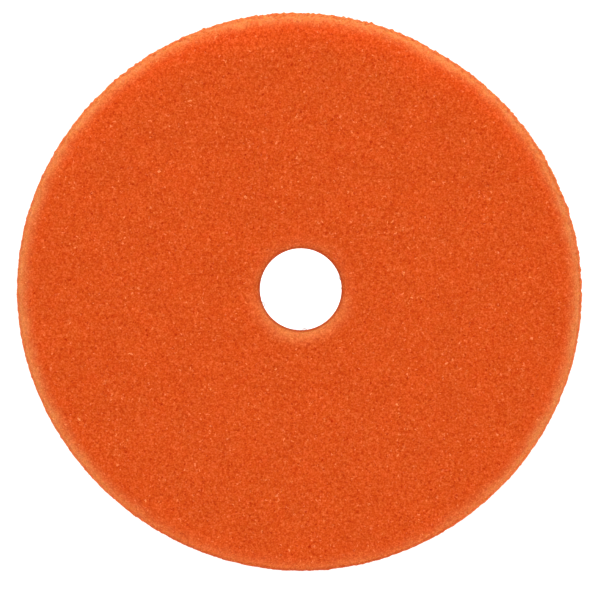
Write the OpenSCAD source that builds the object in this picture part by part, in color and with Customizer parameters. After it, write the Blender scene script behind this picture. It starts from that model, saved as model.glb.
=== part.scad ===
// Foam polishing pad for an orbital or rotary polisher.
// A disc of open-cell foam carries a loop fabric on its back, which a hook-faced
// backing plate grips. One centre hole is punched through every layer.
// The pad lies on its loop face: z = 0 is the tips of the loops, and +Z points
// out of the working face. All sizes are in millimetres.

/* [Foam] */
// Largest diameter, at the working face
face_d = 150; // [142:1:180]
// Diameter at the back, where the foam meets the fabric
back_d = 138; // [112:1:140]
// Thickness of the foam
foam_t = 25; // [18:1:35]
// Height of the straight part of the side wall, below the rounded face edge
side_wall_h = 8; // [4:0.5:11]
// Radius that rounds the working face into the side wall
face_edge_r = 4.5; // [1:0.5:6]

/* [Centre hole] */
// Diameter of the hole through every layer
hole_d = 22.2; // [16:0.1:30]
// Radius that rounds the working face into the hole
hole_edge_r = 3; // [0.5:0.25:4]

/* [Loop backing] */
// Diameter of the loop fabric
loop_d = 136; // [108:1:138]
// Thickness of the adhesive film between foam and fabric
film_t = 0.3; // [0.1:0.05:0.6]
// Thickness of the knitted ground of the fabric
knit_t = 0.6; // [0.3:0.05:1]
// Height of the loops that stand on the ground
pile_h = 1.6; // [1:0.1:3]

/* [Hidden] */
$fn = 96;
arc_steps = 10;
face_r = face_d / 2;
back_r = back_d / 2;
loop_r = loop_d / 2;
hole_r = hole_d / 2;
knit_z = pile_h;
film_z = knit_z + knit_t;
foam_z = film_z + film_t;
top_z = foam_z + foam_t;
side_top_z = top_z - face_edge_r;
side_bottom_z = side_top_z - side_wall_h;

// Points of an arc of radius r about c, from angle a0 to angle a1.
function arc(c, r, a0, a1) = [
    for (i = [0:arc_steps])
    let (a = a0 + (a1 - a0) * i / arc_steps)
    [c[0] + r * cos(a), c[1] + r * sin(a)]
];

// Half section of the foam: up the hole, over both rounded edges of the working
// face, down the straight side and in along the tapered back.
function foam_section() = concat(
    [[hole_r, foam_z]],
    arc([hole_r + hole_edge_r, top_z - hole_edge_r], hole_edge_r, 180, 90),
    arc([face_r - face_edge_r, side_top_z], face_edge_r, 90, 0),
    [[face_r, side_bottom_z], [back_r, foam_z]]
);

// A flat ring of radius r and height h with the centre hole in it, standing on z.
module layer(r, h, z) {
    translate([0, 0, z])
        rotate_extrude()
            translate([hole_r, 0])
                square([r - hole_r, h]);
}

// Open-cell foam body that does the polishing.
module foam_disc() {
    color("orangered")
        rotate_extrude()
            polygon(foam_section());
}

// Hot-melt film that laminates the fabric to the foam.
module adhesive_film() {
    color("wheat") layer(loop_r, film_t, film_z);
}

// Knitted ground that the loops grow from.
module backing_knit() {
    color("whitesmoke") layer(loop_r, knit_t, knit_z);
}

// Layer of loops that the backing plate's hooks catch in.
module loop_pile() {
    color("white") layer(loop_r, pile_h, 0);
}

foam_disc();
adhesive_film();
backing_knit();
loop_pile();
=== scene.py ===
"""Foam polishing pad lying on its loop face: foam body, adhesive film and loop fabric."""

import math

import bpy
import numpy as np
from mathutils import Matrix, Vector, noise


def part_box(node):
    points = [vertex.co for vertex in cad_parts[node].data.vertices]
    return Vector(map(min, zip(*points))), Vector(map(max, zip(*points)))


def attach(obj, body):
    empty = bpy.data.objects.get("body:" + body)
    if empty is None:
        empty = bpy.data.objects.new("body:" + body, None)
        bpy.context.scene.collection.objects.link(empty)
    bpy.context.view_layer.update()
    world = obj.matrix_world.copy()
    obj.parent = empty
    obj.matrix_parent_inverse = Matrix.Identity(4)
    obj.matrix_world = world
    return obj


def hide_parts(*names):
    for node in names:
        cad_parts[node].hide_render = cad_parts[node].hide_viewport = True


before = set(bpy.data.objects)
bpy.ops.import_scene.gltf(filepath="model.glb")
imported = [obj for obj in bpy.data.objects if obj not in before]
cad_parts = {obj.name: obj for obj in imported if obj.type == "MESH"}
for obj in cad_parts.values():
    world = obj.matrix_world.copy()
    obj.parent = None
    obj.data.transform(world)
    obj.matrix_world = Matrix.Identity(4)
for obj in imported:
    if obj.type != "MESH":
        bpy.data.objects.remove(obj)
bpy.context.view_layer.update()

MM = 0.001
SEED = 22

# --- sizes, from the frame -----------------------------------------------------------------------

SAME = 0.02 * MM  # CAD points this close to a height or radius are taken to be on it


def ring_radii(node, height):
    """The smallest and largest radius of a CAD node's points at a height, in metres."""
    mesh = bpy.data.objects[node].data
    points = np.array([v.co for v in mesh.vertices])
    level = points[np.abs(points[:, 2] - height) < SAME]
    radii = np.hypot(level[:, 0], level[:, 1])
    return radii.min(), radii.max()


def lowest_at_radius(node, radius):
    """The height at which a CAD node first reaches a radius, in metres."""
    mesh = bpy.data.objects[node].data
    return min(v.co.z for v in mesh.vertices if math.hypot(v.co.x, v.co.y) > radius - SAME)


foam_low, foam_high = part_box("foam_disc")
film_low, film_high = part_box("adhesive_film")
knit_low, knit_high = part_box("backing_knit")
pile_low, pile_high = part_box("loop_pile")
FOAM_Z, TOP_Z = foam_low[2], foam_high[2]
FACE_R = foam_high[0]
LOOP_R = pile_high[0]
HOLE_R, BACK_R = ring_radii("foam_disc", FOAM_Z)
MOUTH_R, FLAT_R = ring_radii("foam_disc", TOP_Z)
FACE_EDGE = FACE_R - FLAT_R
HOLE_EDGE = MOUTH_R - HOLE_R
WALL_TOP = TOP_Z - FACE_EDGE
WALL_FOOT = lowest_at_radius("foam_disc", FACE_R)

# --- rings: every layer of the pad is a stack of rings about +Z ----------------------------------

LEAST_PER_RING = 24  # vertices
LEAST_PER_ARC = 3  # steps


def line(start, end, step):
    """Points from start to end in the r-z plane, about step apart, without the last one."""
    count = max(1, round(math.dist(start, end) / step))
    return [
        (start[0] + (end[0] - start[0]) * i / count, start[1] + (end[1] - start[1]) * i / count)
        for i in range(count)
    ]


def arc(centre, radius, start, end, step):
    """Points on an arc in the r-z plane, from one angle in degrees to another, without the last."""
    sweep = math.radians(end - start)
    count = max(LEAST_PER_ARC, round(abs(sweep) * radius / step))
    angles = [math.radians(start) + sweep * i / count for i in range(count)]
    return [(centre[0] + radius * math.cos(a), centre[1] + radius * math.sin(a)) for a in angles]


def zip_rings(first, size, after, after_size):
    """Triangles between two rings of vertices that start at the same angle."""
    faces = []
    i = j = 0
    while i < size or j < after_size:
        a, b = first + i % size, after + j % after_size
        if (i + 1) * after_size <= (j + 1) * size and i < size:
            faces.append((a, first + (i + 1) % size, b))
            i += 1
        else:
            faces.append((a, after + (j + 1) % after_size, b))
            j += 1
    return faces


def ring(r, z, turn):
    """A vector for each angle of turn about +Z, r long outwards and z high."""
    return np.stack([r * np.cos(turn), r * np.sin(turn), np.full(len(turn), z)], axis=1)


def revolve(section, step):
    """Vertices, the section's normals at them and triangles of a closed section turned about +Z.

    section lists (r, z) points. step gives the distance between neighbours on a ring. Each ring
    has as many vertices as it needs, and every second one is turned by half a step."""
    points, normals, firsts, sizes = [], [], [], []
    total = 0
    path = np.array(section)
    along = np.roll(path, -1, axis=0) - np.roll(path, 1, axis=0)
    outward = np.stack([along[:, 1], -along[:, 0]], axis=1)
    outward /= np.linalg.norm(outward, axis=1)[:, None]
    for k, (r, z) in enumerate(section):
        count = max(LEAST_PER_RING, round(2 * math.pi * r / step(r, z)))
        turn = 2 * math.pi * (np.arange(count) + 0.5 * (k % 2)) / count
        points.append(ring(r, z, turn))
        normals.append(ring(*outward[k], turn))
        firsts.append(total)
        sizes.append(count)
        total += count
    faces = []
    for k in range(len(section)):
        after = (k + 1) % len(section)
        faces += zip_rings(firsts[k], sizes[k], firsts[after], sizes[after])
    return np.concatenate(points), np.concatenate(normals), faces


def make_mesh(name, points, faces, smooth=True):
    """A mesh object in the scene."""
    mesh = bpy.data.meshes.new(name)
    mesh.from_pydata([tuple(p) for p in points], [], faces)
    mesh.validate()
    if smooth:
        mesh.shade_smooth()
    piece = bpy.data.objects.new(name, mesh)
    bpy.context.scene.collection.objects.link(piece)
    return piece


# --- foam body -----------------------------------------------------------------------------------

# The distance between neighbouring vertices on each part of the foam's surface.
FACE_STEP = 0.62 * MM
EDGE_STEP = 0.45 * MM
SIDE_STEP = 0.7 * MM
HIDDEN_STEP = 2.2 * MM
FOOT_EDGE = 5 * MM  # the radius that eases the taper into the straight wall

# The disc is cut from soft foam, so its outline isn't a true circle about the hole.
OUTLINE_SHIFT = (-0.43 * MM, -0.78 * MM)
OVAL = 0.6 * MM
LONG_AXIS = math.radians(-18.6)
FOUR_LOBES = 0.17 * MM
FLAT_SPOT = 0.25 * MM
FLAT_SPOT_AT = math.radians(60)
FLAT_SPOT_WIDTH = math.radians(9)

# The surface's relief: pores and shallow crumbs all over, and knobs along the rim.
CELL = 0.85 * MM
CELL_DEPTH = 0.09 * MM
CELL_MIDDLE = 0.6  # the share of a pore's depth that lies at the CAD surface
STRUT_SLOPE = 1.6
CRUMB = 1.5 * MM
CRUMB_DEPTH = 0.05 * MM
KNOB = 0.95 * MM
KNOB_OFFSET = Vector((7, 3, 1))
RAGGED_DEPTH = 0.74 * MM
SMOOTH_DEPTH = 0.26 * MM
RAGGED_AT = math.radians(68)  # the middle of the stretch of rim that was cut roughly
RAGGED_HALF = math.radians(70)
RAGGED_FADE = math.radians(6)
BACK_MARGIN = 0.1 * MM  # points this close to the glued back stay flat

CUT_RADIUS = "cut_radius"  # a vertex attribute: the radius before the outline was made uneven


def foam_section():
    """The foam's half section, counter-clockwise from the back's inner corner.

    The corner between the taper and the straight wall is eased by an arc."""
    taper = math.atan2(FACE_R - BACK_R, WALL_FOOT - FOAM_Z)
    wall_start = WALL_FOOT + FOOT_EDGE * math.tan(taper / 2)
    taper_end = (
        FACE_R - FOOT_EDGE + FOOT_EDGE * math.cos(taper),
        wall_start - FOOT_EDGE * math.sin(taper),
    )
    return (
        line((HOLE_R, FOAM_Z), (BACK_R - SIDE_STEP, FOAM_Z), HIDDEN_STEP)
        + line((BACK_R - SIDE_STEP, FOAM_Z), (BACK_R, FOAM_Z), SIDE_STEP)
        + line((BACK_R, FOAM_Z), taper_end, SIDE_STEP)
        + arc((FACE_R - FOOT_EDGE, wall_start), FOOT_EDGE, -math.degrees(taper), 0, SIDE_STEP)
        + line((FACE_R, wall_start), (FACE_R, WALL_TOP), SIDE_STEP)
        + arc((FLAT_R, WALL_TOP), FACE_EDGE, 0, 90, EDGE_STEP)
        + line((FLAT_R, TOP_Z), (MOUTH_R, TOP_Z), FACE_STEP)
        + arc((MOUTH_R, TOP_Z - HOLE_EDGE), HOLE_EDGE, 90, 180, EDGE_STEP)
        + line((HOLE_R, TOP_Z - HOLE_EDGE), (HOLE_R, FOAM_Z), SIDE_STEP)
    )


def foam_step(r, z):
    """The distance between neighbours on a ring of the foam."""
    if z == FOAM_Z and HOLE_R < r < BACK_R - SIDE_STEP:
        return HIDDEN_STEP
    if z == TOP_Z:
        return FACE_STEP
    if z > TOP_Z - FACE_EDGE and r > FLAT_R:
        return EDGE_STEP
    return SIDE_STEP


def wrapped(angle):
    """An angle brought to between -pi and pi."""
    return (angle + np.pi) % (2 * np.pi) - np.pi


def outline_offset(turn):
    """How far the cut outline lies outside the true circle, at each angle."""
    shift = OUTLINE_SHIFT[0] * np.cos(turn) + OUTLINE_SHIFT[1] * np.sin(turn)
    lobes = OVAL * np.cos(2 * (turn - LONG_AXIS)) + FOUR_LOBES * np.cos(4 * turn)
    flat = FLAT_SPOT * np.exp(-((wrapped(turn - FLAT_SPOT_AT) / FLAT_SPOT_WIDTH) ** 2))
    return shift + lobes - flat


def cell_height(point):
    """The cut surface's height over a cell: 1 on the struts, down to 0 in a cell's middle."""
    near, second = noise.voronoi(point / CELL)[0][:2]
    return 1 - min(1.0, (second - near) * STRUT_SLOPE)


def relief_height(points, radius, turn):
    """How far the cut surface stands out from the CAD surface at each point."""
    at = [Vector(p) for p in points]
    cells = np.array([cell_height(p) for p in at])
    crumbs = np.array([noise.noise(p / CRUMB) for p in at])
    knobs = np.array([noise.noise(p / KNOB + KNOB_OFFSET) for p in at])
    rim = np.clip((radius - FLAT_R) / FACE_EDGE, 0, 1)
    away = np.abs(wrapped(turn - RAGGED_AT)) - RAGGED_HALF
    ragged = 1 / (1 + np.exp(away / RAGGED_FADE))
    knob_depth = SMOOTH_DEPTH + (RAGGED_DEPTH - SMOOTH_DEPTH) * ragged
    height = CELL_DEPTH * (cells - CELL_MIDDLE) + CRUMB_DEPTH * crumbs
    height += knob_depth * rim * knobs
    return height * (points[:, 2] > FOAM_Z + BACK_MARGIN)


def foam_disc():
    """The foam: a turned section with relief, then pulled to its uneven outline."""
    points, normals, faces = revolve(foam_section(), foam_step)
    radius = np.hypot(points[:, 0], points[:, 1])
    turn = np.arctan2(points[:, 1], points[:, 0])
    points = points + normals * relief_height(points, radius, turn)[:, None]
    pull = np.clip((radius - HOLE_R) / (FACE_R - HOLE_R), 0, 1) ** 2
    offset = outline_offset(turn) * pull
    points[:, 0] += offset * np.cos(turn)
    points[:, 1] += offset * np.sin(turn)
    piece = make_mesh("foam_body", points, faces)
    cut_radius = piece.data.attributes.new(CUT_RADIUS, "FLOAT", "POINT")
    cut_radius.data.foreach_set("value", radius.astype(np.float32))
    return piece


# --- loop fabric and its film --------------------------------------------------------------------

FABRIC_STEP = 1.3 * MM
CUT_BAND = 0.5 * MM  # the outermost part of the film and the ground, which the cut left uneven
SQUEEZE, SQUEEZE_SWAY, SQUEEZE_SIZE = 0.3 * MM, 0.25 * MM, 4 * MM
FRAY, FRAY_SIZE = 0.15 * MM, 1.1 * MM

ROW_PITCH = 1.15 * MM
LOOP_PITCH = 1.2 * MM
YARN_R = 0.14 * MM
YARN_SIDES = 3
LOOP_W = 1.15 * MM
LOOP_SEGMENTS = 6
LOOP_ARC = (-62, 242)  # degrees, from one root over the tip to the other
LOOP_ROOT = knit_low[2] + 0.1 * MM  # just inside the ground
LOOP_MARGIN = 0.35 * MM  # from the roots to the fabric's cut edges
LOOP_TALL = (0.78, 1.0)  # of the room between the ground and the tips
LOOP_WIDE = (0.8, 1.2)  # of LOOP_W
LOOP_LEAN = (-0.35, 0.75)  # how far a loop goes sideways for its height
LOOP_SWAY = (0.12 * MM, 0.1 * MM)  # along and across a row
LOOP_YAW = 0.45  # radians


def flat_ring(low, high, inner, outer, step):
    """The closed section of a flat ring with square edges."""
    return (
        line((inner, low), (outer, low), step)
        + line((outer, low), (outer, high), step)
        + line((outer, high), (inner, high), step)
        + line((inner, high), (inner, low), step)
    )


def flat_layer(name, low, high, stand_out, sway, sway_size):
    """A flat ring of fabric or film. Its outer cut edge stands out unevenly."""
    section = flat_ring(low, high, HOLE_R, LOOP_R, FABRIC_STEP)
    points, _, faces = revolve(section, lambda r, z: FABRIC_STEP)
    radius = np.hypot(points[:, 0], points[:, 1])
    swell = np.array([noise.noise(Vector(p) / sway_size) for p in points])
    uneven = np.where(radius > LOOP_R - CUT_BAND, stand_out + sway * swell, 0)
    points[:, :2] *= (1 + uneven / radius)[:, None]
    return make_mesh(name, points, faces)


def adhesive_film():
    """The film is squeezed out a little past the fabric's cut edge."""
    edge = {"stand_out": SQUEEZE, "sway": SQUEEZE_SWAY, "sway_size": SQUEEZE_SIZE}
    return flat_layer("bond_film", film_low[2], film_high[2], **edge)


def knit_ground():
    """The knitted ground, with a frayed cut edge."""
    edge = {"stand_out": 0, "sway": FRAY, "sway_size": FRAY_SIZE}
    return flat_layer("knit_ground", knit_low[2], knit_high[2], **edge)


def loop_line(rng, lean):
    """The centreline of one loop about its root, standing down from the fabric."""
    tall = (LOOP_ROOT - pile_low[2] - YARN_R) * rng.uniform(*LOOP_TALL)
    wide = LOOP_W * rng.uniform(*LOOP_WIDE)
    angles = np.radians(np.linspace(*LOOP_ARC, LOOP_SEGMENTS + 1))
    across = wide / 2 * np.cos(angles)
    rise = np.sin(angles)
    down = tall * (rise - rise.min()) / (rise.max() - rise.min())
    side = lean * down * rng.uniform(*LOOP_LEAN)
    return np.stack([across, side, -down], axis=1)


def turned(path, angle):
    """A path turned about +Z."""
    cosine, sine = math.cos(angle), math.sin(angle)
    return path @ np.array([[cosine, sine, 0], [-sine, cosine, 0], [0, 0, 1]])


def tube(path, radius, sides):
    """Points and faces of a closed tube along a path that nowhere runs straight along Y."""
    ahead = np.gradient(path, axis=0)
    ahead /= np.linalg.norm(ahead, axis=1)[:, None]
    beside = np.cross(ahead, (0, 1, 0))
    beside /= np.linalg.norm(beside, axis=1)[:, None]
    above = np.cross(ahead, beside)
    turn = 2 * np.pi * np.arange(sides) / sides
    points = (
        path[:, None]
        + radius * np.cos(turn)[None, :, None] * beside[:, None]
        + radius * np.sin(turn)[None, :, None] * above[:, None]
    ).reshape(-1, 3)
    last = (len(path) - 1) * sides
    faces = []
    for first in range(0, last, sides):
        for k in range(sides):
            a, b = first + k, first + (k + 1) % sides
            faces.append((a, b, b + sides, a + sides))
    faces.append(tuple(reversed(range(sides))))
    faces.append(tuple(range(last, last + sides)))
    return points, faces


def loops(name, rows, lean, seed):
    """The loops of every second row of the fabric, which lean the same way."""
    rng = np.random.default_rng(seed)
    points, faces = [], []
    total = 0
    inner, outer = HOLE_R + LOOP_MARGIN, LOOP_R - LOOP_MARGIN
    for row in rows:
        y = row * ROW_PITCH
        half = math.sqrt(max(outer**2 - y**2, 0))
        shift = rng.uniform(0, LOOP_PITCH)
        for x in np.arange(-half + shift, half, LOOP_PITCH):
            root_x = x + rng.normal(0, LOOP_SWAY[0])
            root_y = y + rng.normal(0, LOOP_SWAY[1])
            if not inner < math.hypot(root_x, root_y) < outer:
                continue
            path = loop_line(rng, lean)
            path = turned(path, rng.normal(0, LOOP_YAW)) + (root_x, root_y, LOOP_ROOT)
            yarn, yarn_faces = tube(path, YARN_R, YARN_SIDES)
            points.append(yarn)
            faces += [tuple(total + v for v in face) for face in yarn_faces]
            total += len(yarn)
    return make_mesh(name, np.concatenate(points), faces)


# --- materials -----------------------------------------------------------------------------------

NOISE_RANGE = (0.3, 0.7)
DOT_WOBBLE, DOT_WOBBLE_SIZE = 1.3, 0.5  # in cells
DOT_CORE = 0.4  # the share of a dot's radius that has its full strength
DOT_CONTRAST = 1.5
WAVE_PERIOD = math.pi / 10  # of a wave texture at a scale of 1
MIX_A, MIX_B, MIX_RESULT = 6, 7, 2  # a mix node's sockets for colours


class Tree:
    """A material's node tree, with short calls for the nodes it needs."""

    def __init__(self, name):
        self.material = bpy.data.materials.new(name)
        self.material.use_nodes = True
        self.nodes = self.material.node_tree.nodes
        self.links = self.material.node_tree.links
        self.nodes.clear()
        self.shader = self.nodes.new("ShaderNodeBsdfPrincipled")
        output = self.nodes.new("ShaderNodeOutputMaterial")
        self.links.new(self.shader.outputs["BSDF"], output.inputs["Surface"])
        self.place = self.nodes.new("ShaderNodeTexCoord").outputs["Object"]

    def put(self, node, socket, value):
        """A socket gets another node's output or a plain value."""
        if isinstance(value, bpy.types.NodeSocket):
            self.links.new(value, node.inputs[socket])
        else:
            node.inputs[socket].default_value = value

    def set(self, **values):
        """Sets the shader's sockets. An underscore in a name stands for a space."""
        for name, value in values.items():
            self.put(self.shader, name.replace("_", " "), value)

    def noise(self, size, detail=2.0, output="Fac"):
        """A noise of about 0.5, nearly all of it within NOISE_RANGE, with blotches of a size."""
        node = self.nodes.new("ShaderNodeTexNoise")
        self.put(node, "Vector", self.place)
        self.put(node, "Scale", 1 / size)
        self.put(node, "Detail", detail)
        return node.outputs[output]

    def crooked_place(self, size, by):
        """The place, shifted this way and that by a noise."""
        node = self.nodes.new("ShaderNodeVectorMath")
        node.operation = "MULTIPLY_ADD"
        self.put(node, 0, self.noise(size, output="Color"))
        self.put(node, 1, (by, by, by))
        self.put(node, 2, self.place)
        return node.outputs[0]

    def cells(self, size, place=None):
        """The distance from the nearest cell's middle, in cells, and that cell's random colour."""
        node = self.nodes.new("ShaderNodeTexVoronoi")
        self.put(node, "Vector", place or self.place)
        self.put(node, "Scale", 1 / size)
        return node.outputs["Distance"], node.outputs["Color"]

    def stripes(self, pitch, direction, sway=0.0):
        """Soft stripes across the X or Y direction, a pitch apart."""
        node = self.nodes.new("ShaderNodeTexWave")
        node.bands_direction = direction
        self.put(node, "Vector", self.place)
        self.put(node, "Scale", WAVE_PERIOD / pitch)
        self.put(node, "Distortion", sway)
        return node.outputs["Fac"]

    def dots(self, size, radius):
        """Crooked dots, one to a cell, each with its own strength. The radius is in cells."""
        place = self.crooked_place(DOT_WOBBLE_SIZE * size, DOT_WOBBLE * size)
        distance, colour = self.cells(size, place)
        dot = self.scaled(distance, radius, DOT_CORE * radius, smooth=True)
        strength = self.math("POWER", colour, DOT_CONTRAST)
        return self.math("MULTIPLY", dot, strength)

    def math(self, operation, a, b=0.0):
        """One arithmetic step."""
        node = self.nodes.new("ShaderNodeMath")
        node.operation = operation
        self.put(node, 0, a)
        self.put(node, 1, b)
        return node.outputs[0]

    def scaled(self, value, low, high, to_low=0.0, to_high=1.0, smooth=False):
        """A value brought from one range to another, and held at the ends of it."""
        node = self.nodes.new("ShaderNodeMapRange")
        node.interpolation_type = "SMOOTHSTEP" if smooth else "LINEAR"
        for socket, number in enumerate((value, low, high, to_low, to_high)):
            self.put(node, socket, number)
        return node.outputs[0]

    def swing(self, noise, to_low, to_high):
        """A noise brought from its usual range to another."""
        return self.scaled(noise, *NOISE_RANGE, to_low, to_high)

    def mix(self, fraction, a, b, blend="MIX"):
        """Colour a where the fraction is 0, and b, or a blended with b, where it is 1."""
        node = self.nodes.new("ShaderNodeMix")
        node.data_type = "RGBA"
        node.blend_type = blend
        self.put(node, 0, fraction)
        self.put(node, MIX_A, a)
        self.put(node, MIX_B, b)
        return node.outputs[MIX_RESULT]

    def tinted(self, colour, tint, fraction=1.0):
        """A colour multiplied by another or by a number."""
        return self.mix(fraction, colour, tint, "MULTIPLY")

    def ramp(self, value, *stops):
        """A colour for a value, between stops of a position and a colour each."""
        node = self.nodes.new("ShaderNodeValToRGB")
        self.put(node, 0, value)
        elements = node.color_ramp.elements
        while len(elements) < len(stops):
            elements.new(0.5)
        for element, (position, colour) in zip(elements, stops):
            element.position = position
            element.color = colour
        return node.outputs[0]

    def bump(self, height, distance, strength):
        """The normals of a surface that stands up by the distance where the height is 1."""
        node = self.nodes.new("ShaderNodeBump")
        self.put(node, "Height", height)
        self.put(node, "Distance", distance)
        self.put(node, "Strength", strength)
        return node.outputs["Normal"]

    def attribute(self, name):
        """A number that the mesh holds for each vertex."""
        node = self.nodes.new("ShaderNodeAttribute")
        node.attribute_name = name
        return node.outputs["Fac"]

    def place_parts(self):
        """The distance from the pad's axis, the height, and the sine of the turn from +X."""
        split = self.nodes.new("ShaderNodeSeparateXYZ")
        self.put(split, 0, self.place)
        x, y, z = split.outputs
        squares = self.math("ADD", self.math("MULTIPLY", x, x), self.math("MULTIPLY", y, y))
        radius = self.math("SQRT", squares)
        return radius, z, self.math("DIVIDE", y, radius)


def rgb(r, g, b):
    """An opaque colour, in linear light."""
    return (r, g, b, 1.0)


# The sizes of the foam's marks.
GRAIN = 0.42 * MM
PORE = 0.5 * MM
CLUMP = 1.1 * MM
GLINT = 1.35 * MM
PIT = 1.15 * MM
GLINT_CLUSTER = 6 * MM
DRIFT = 9 * MM
WAVER = 5 * MM

PORE_SHARE = 0.35
CLUMP_SHARE = 0.48
SPECKLE_RANGE = (0.57, 1.29)  # grain, pores and clumps together, from the darkest to the palest
GLINT_RADIUS = 0.25  # in cells
PIT_RADIUS = 0.32  # in cells
FOAM_GLOW = 0.7  # the share of light that passes through the foam near its surface
CLUSTER_RANGE = (0.35, 0.65, 0.5, 1.3)  # two noise levels, then the glints' strengths at them
DRIFT_RANGE = (0.97, 1.03)
WAVER_REACH = 0.5 * MM

DEEP_ORANGE = rgb(0.5, 0.038, 0.004)
ORANGE = rgb(0.628, 0.08, 0.0082)
PALE_ORANGE = rgb(0.745, 0.152, 0.034)
GLINT_ORANGE = rgb(0.92, 0.325, 0.11)
# Painted shade: the colour of the deepest pores.
PIT_SHADE_ORANGE = rgb(0.42, 0.012, 0.0)
# Painted light: a factor that brightens the face near its rim on the side towards the key light at
# +Y.
PAINTED_LIGHT_TINT = rgb(1.11, 1.02, 0.98)  # a factor
DEEP_RIM = rgb(0.62, 0.172, 0.042)
PALE_RIM = rgb(0.88, 0.35, 0.115)
# Painted shade: the walls' colours, darker than the face's.
DEEP_SHADED_WALL = rgb(0.38, 0.03, 0.0)
SHADED_WALL_ORANGE = rgb(0.49, 0.06, 0.006)
PALE_SHADED_WALL = rgb(0.72, 0.155, 0.04)

# Bands of the foam's surface, from where each sets in to where it has its full strength. The
# first five are radii, measured before the outline was made uneven, and the last two are heights.
# The first band paints light on the face, and the fourth to the seventh set where the walls get
# painted shade.
PAINTED_LIGHT_BAND = (FACE_R - 14 * MM, FACE_R - 3 * MM)
RIM_BAND = (FACE_R - 4.7 * MM, FACE_R - 0.9 * MM)
MOUTH_BAND = (HOLE_R + 5 * MM, HOLE_R + 0.8 * MM)
BORE_BAND = (HOLE_R + 0.65 * MM, HOLE_R + 0.15 * MM)
OUTSIDE_BAND = (LOOP_R - 3 * MM, LOOP_R)
EDGE_BAND = (WALL_TOP + 3.2 * MM, WALL_TOP + 1.7 * MM)
SIDE_BAND = (WALL_TOP, WALL_TOP - 3 * MM)
RIM_FALLOFF = 1.7
MOUTH_FALLOFF = 1.5
BORE_STRENGTH = 0.9
SIDE_STRENGTH = 0.92

# How strong a band is around the pad: two sines of the turn from +X, then the strengths at them.
# These strengths paint light on the sides that face the key light at +Y and shade on the sides away
# from it.
PAINTED_LIGHT_BY_TURN = (0.2, 1.1, 0.0, 1.0)
RIM_SHADE_BY_TURN = (0.3, 1.0, 0.87, 1.0)  # painted shade: the rim's brightness, lower on the side away from the key light
RIM_LIGHT_BY_TURN = (-1.0, -0.5, 0.3, 0.82)
MOUTH_LIGHT_BY_TURN = (0.1, -1.0, 0.17, 0.65)
EDGE_SHADE_BY_TURN = (-1.0, -0.7, 1.0, 0.6)
GLOW_SHADE_BY_TURN = (-0.75, -0.95, 0.0, 1.0)  # painted shade: how much of the glow the edge loses, most on the side away from the key light


def foam_shade(tree, grain):
    """From 0 in the foam's darkest specks to 1 in its palest, with painted shade in the pores."""
    pores, _ = tree.cells(PORE)
    clumps = tree.noise(CLUMP, detail=1.0)
    speckle = tree.math("ADD", grain, tree.math("MULTIPLY", pores, PORE_SHARE))
    speckle = tree.math("ADD", speckle, tree.math("MULTIPLY", clumps, CLUMP_SHARE))
    return tree.scaled(speckle, *SPECKLE_RANGE)


def foam_glints(tree):
    """Pale specks, where a strut's cut end catches the light. Some places have more of them."""
    cluster = tree.scaled(tree.noise(GLINT_CLUSTER), *CLUSTER_RANGE)
    return tree.math("MULTIPLY", tree.dots(GLINT, GLINT_RADIUS), cluster)


def band(tree, value, limits, across, by_turn, falloff=None):
    """A band's strength. With a falloff it is a power of the way across it, else a smooth step."""
    strength = tree.scaled(value, *limits, smooth=falloff is None)
    if falloff is not None:
        strength = tree.math("POWER", strength, falloff)
    return tree.math("MULTIPLY", strength, tree.scaled(across, *by_turn, smooth=True))


def torn_edges_and_painted_light(tree, colour, shade, across):
    """The face by its rim, the rim and the hole's mouth: paler where torn, with painted light and
    shade.
    """
    waver = tree.swing(tree.noise(WAVER), -WAVER_REACH, WAVER_REACH)
    radius = tree.math("ADD", tree.attribute(CUT_RADIUS), waver)
    # Painted light: the face near its rim is brighter towards the key light at +Y.
    painted_light = band(tree, radius, PAINTED_LIGHT_BAND, across, PAINTED_LIGHT_BY_TURN)
    colour = tree.tinted(colour, PAINTED_LIGHT_TINT, painted_light)
    torn = tree.ramp(shade, (0.0, DEEP_RIM), (1.0, PALE_RIM))
    # Painted shade: the torn rim is darker on the side away from the key light.
    shaded_torn_rim = tree.tinted(torn, tree.scaled(across, *RIM_SHADE_BY_TURN, smooth=True))
    # The rim is paler all round where the cells are torn, and more so towards the key light by
    # painted light.
    rim = band(tree, radius, RIM_BAND, across, RIM_LIGHT_BY_TURN, RIM_FALLOFF)
    colour = tree.mix(rim, colour, shaded_torn_rim)
    # The mouth is paler all round where the cells are torn, and more so by painted light where it
    # faces the key.
    mouth = band(tree, radius, MOUTH_BAND, across, MOUTH_LIGHT_BY_TURN, MOUTH_FALLOFF)
    return tree.mix(mouth, colour, torn)


def shaded_walls(tree, colour, shade, height, across):
    """The side and the hole's wall, darker than the face by painted shade."""
    radius = tree.attribute(CUT_RADIUS)
    # Painted shade: a dark band along the outer edge, all round and strongest away from the key
    # light.
    edge = band(tree, height, EDGE_BAND, across, EDGE_SHADE_BY_TURN)
    side = tree.scaled(height, *SIDE_BAND, 0.0, SIDE_STRENGTH, smooth=True)
    outside = tree.math("MAXIMUM", edge, side)
    outside = tree.math("MULTIPLY", outside, tree.scaled(radius, *OUTSIDE_BAND))
    # Painted shade: a dark ring on the hole's wall and the mouth's lowest part.
    bore = tree.scaled(radius, *BORE_BAND, 0.0, BORE_STRENGTH, smooth=True)
    shaded_wall = tree.ramp(shade, (0.0, DEEP_SHADED_WALL), (0.5, SHADED_WALL_ORANGE), (1.0, PALE_SHADED_WALL))
    return tree.mix(tree.math("MAXIMUM", outside, bore), colour, shaded_wall)


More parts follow.
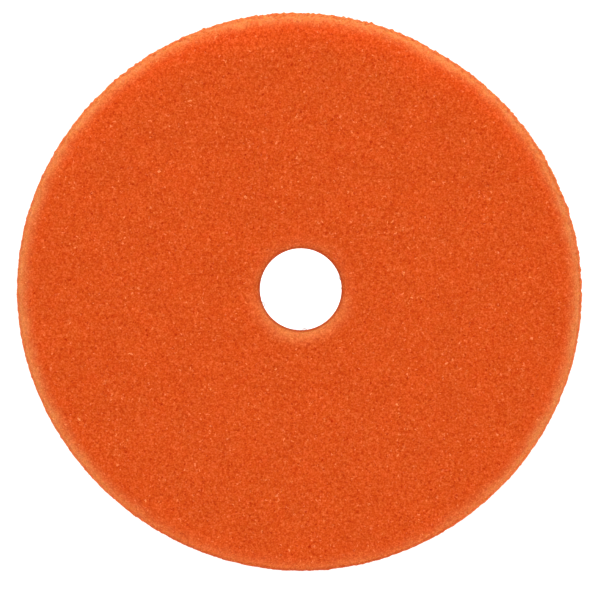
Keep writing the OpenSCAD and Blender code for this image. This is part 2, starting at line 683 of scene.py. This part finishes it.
def foam_material():
    """Dyed open-cell foam: painted shade in pores, edges paler from torn cells and painted light.
    """
    tree = Tree("foam_orange")
    grain = tree.noise(GRAIN, detail=1.0)
    shade = foam_shade(tree, grain)
    pits = tree.dots(PIT, PIT_RADIUS)
    glints = foam_glints(tree)
    _, height, across = tree.place_parts()

    colour = tree.ramp(shade, (0.0, DEEP_ORANGE), (0.5, ORANGE), (1.0, PALE_ORANGE))
    colour = tree.tinted(colour, tree.swing(tree.noise(DRIFT), *DRIFT_RANGE))
    # Painted shade in the deepest pores.
    colour = tree.mix(pits, colour, PIT_SHADE_ORANGE)
    colour = torn_edges_and_painted_light(tree, colour, shade, across)
    colour = shaded_walls(tree, colour, shade, height, across)
    colour = tree.mix(glints, colour, GLINT_ORANGE)

    # Painted shade: the outer edge loses its glow on the side away from the key light.
    glow_shade = band(tree, height, EDGE_BAND, across, GLOW_SHADE_BY_TURN)
    relief = tree.math("SUBTRACT", tree.math("ADD", shade, glints), pits)
    tree.set(
        Base_Color=colour,
        Roughness=tree.swing(grain, 0.95, 0.8),
        Specular_IOR_Level=0.03,
        Sheen_Weight=0.09,
        Sheen_Roughness=0.5,
        Sheen_Tint=rgb(1.0, 0.5, 0.2),
        Subsurface_Weight=tree.scaled(glow_shade, 0.0, 1.0, FOAM_GLOW, 0.0),
        Subsurface_Scale=7 * MM,
        Subsurface_Radius=(1.0, 0.1, 0.03),
        Normal=tree.bump(relief, 0.1 * MM, 0.6),
    )
    return tree.material


FILM_CLOUD = 3 * MM
FIBRE = 0.12 * MM
SOIL = 14 * MM
STITCH_SHARE, FIBRE_SHARE = 0.55, 0.5
KNIT_RELIEF, PILE_RELIEF = 0.12 * MM, 0.05 * MM


def film_material():
    """Hot-melt adhesive, amber and cloudy."""
    tree = Tree("film_amber")
    cloud = tree.noise(FILM_CLOUD)
    dark, light = rgb(0.55, 0.44, 0.26), rgb(0.72, 0.62, 0.42)
    tree.set(
        Base_Color=tree.ramp(cloud, *zip(NOISE_RANGE, (dark, light))),
        Roughness=tree.swing(cloud, 0.3, 0.5),
        Subsurface_Weight=0.2,
        Subsurface_Scale=0.5 * MM,
        Normal=tree.bump(cloud, 0.1 * MM, 0.5),
    )
    return tree.material


def stitch_shade(tree, fibres):
    """Columns and rows of stitches, pale on top and dark between, with the yarn's own fibres."""
    columns = tree.stripes(ROW_PITCH, "Y", sway=0.6)
    rows = tree.stripes(0.5 * LOOP_PITCH, "X", sway=0.8)
    knit = tree.math("MULTIPLY", columns, tree.scaled(rows, 0.0, 1.0, 0.35, 1.0))
    stitches = tree.math("MULTIPLY", knit, STITCH_SHARE)
    return tree.math("ADD", stitches, tree.math("MULTIPLY", fibres, FIBRE_SHARE))


def yarn_material(name, dark, light, stitches=False):
    """Brushed white polyester. With stitches, the yarn is knitted into columns and rows."""
    tree = Tree(name)
    fibres = tree.noise(FIBRE, detail=3.0)
    shade = stitch_shade(tree, fibres) if stitches else fibres
    relief = KNIT_RELIEF if stitches else PILE_RELIEF
    colour = tree.ramp(shade, *zip(NOISE_RANGE, (dark, light)))
    tree.set(
        Base_Color=tree.tinted(colour, tree.swing(tree.noise(SOIL, detail=3.0), 0.9, 1.0)),
        Roughness=tree.swing(fibres, 0.85, 0.65),
        Sheen_Weight=0.35,
        Sheen_Roughness=0.4,
        Normal=tree.bump(shade, relief, 0.6),
    )
    return tree.material


# --- stage: floor, light and camera --------------------------------------------------------------

FLOOR_HALF = 3.0
FLOOR_GAP = 0.02 * MM  # keeps the loops' tips clear of the floor
FLOOR_GLOW = (1.1, 0.5)  # in the hole and away from it


def floor():
    """A white floor that glows a little, and more where it shows through the hole."""
    tree = Tree("floor_white")
    radius, _, _ = tree.place_parts()
    tree.set(
        Base_Color=rgb(0.8, 0.8, 0.8),
        Roughness=0.9,
        Specular_IOR_Level=0.1,
        Emission_Color=rgb(1.0, 1.0, 1.0),
        Emission_Strength=tree.scaled(radius, HOLE_R, 2 * HOLE_R, *FLOOR_GLOW),
    )
    corners = [(-1, -1), (1, -1), (1, 1), (-1, 1)]
    points = [(x * FLOOR_HALF, y * FLOOR_HALF, -FLOOR_GAP) for x, y in corners]
    plane = make_mesh("floor", points, [(0, 1, 2, 3)], smooth=False)
    plane.data.materials.append(tree.material)


def area_light(name, place, size, power):
    """A round soft light that faces the pad."""
    light = bpy.data.lights.new(name, "AREA")
    light.shape = "DISK"
    light.size = size
    light.energy = power
    lamp = bpy.data.objects.new(name, light)
    lamp.location = place
    lamp.rotation_euler = (-Vector(place)).to_track_quat("-Z", "Y").to_euler()
    bpy.context.scene.collection.objects.link(lamp)


def lights():
    """A soft key from the top of the picture and a weak fill across from it, in a white room."""
    area_light("key", place=(-0.05, 1.25, 0.8), size=0.7, power=6.5)
    area_light("fill", place=(0.15, -1.1, 1.0), size=0.9, power=3)
    world = bpy.data.worlds.new("studio")
    world.use_nodes = True
    sky = world.node_tree.nodes["Background"]
    sky.inputs["Color"].default_value = rgb(1, 1, 1)
    sky.inputs["Strength"].default_value = 1.0
    bpy.context.scene.world = world
    bpy.context.scene.view_settings.view_transform = "Standard"


CAMERA_FROM = 1.6  # metres above the widest part of the pad
FRAME_WIDTH = 160.9 * MM  # the picture's width, at the pad's widest part
CAMERA_AT = (-0.2 * MM, -1.42 * MM)
SENSOR_WIDTH = 36


def camera():
    """Straight above the working face, as in a catalogue picture of the pad's front."""
    data = bpy.data.cameras.new("camera")
    data.sensor_width = SENSOR_WIDTH
    data.lens = SENSOR_WIDTH * CAMERA_FROM / FRAME_WIDTH
    data.clip_start, data.clip_end = 0.05, 20
    eye = bpy.data.objects.new("camera", data)
    eye.location = (*CAMERA_AT, WALL_TOP + CAMERA_FROM)
    bpy.context.scene.collection.objects.link(eye)
    bpy.context.scene.camera = eye


# --- the pad -------------------------------------------------------------------------------------


def finish_piece(piece, node, material):
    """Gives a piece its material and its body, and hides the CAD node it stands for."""
    piece.data.materials.append(material)
    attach(piece, "root")
    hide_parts(node)


camera()
floor()
lights()

foam = foam_disc()
finish_piece(foam, "foam_disc", foam_material())

film = adhesive_film()
finish_piece(film, "adhesive_film", film_material())

knit = knit_ground()
knit_dark, knit_light = rgb(0.36, 0.36, 0.34), rgb(0.76, 0.76, 0.73)
ground_yarn = yarn_material("knit_yarn", knit_dark, knit_light, stitches=True)
finish_piece(knit, "backing_knit", ground_yarn)

pile_dark, pile_light = rgb(0.66, 0.66, 0.63), rgb(0.9, 0.9, 0.87)
pile_yarn = yarn_material("loop_yarn", pile_dark, pile_light)
row_count = int(LOOP_R / ROW_PITCH)
left = loops("loops_left", range(-row_count, row_count + 1, 2), -1, SEED)
right = loops("loops_right", range(-row_count + 1, row_count + 1, 2), 1, SEED + 1)
for pile in (left, right):
    finish_piece(pile, "loop_pile", pile_yarn)
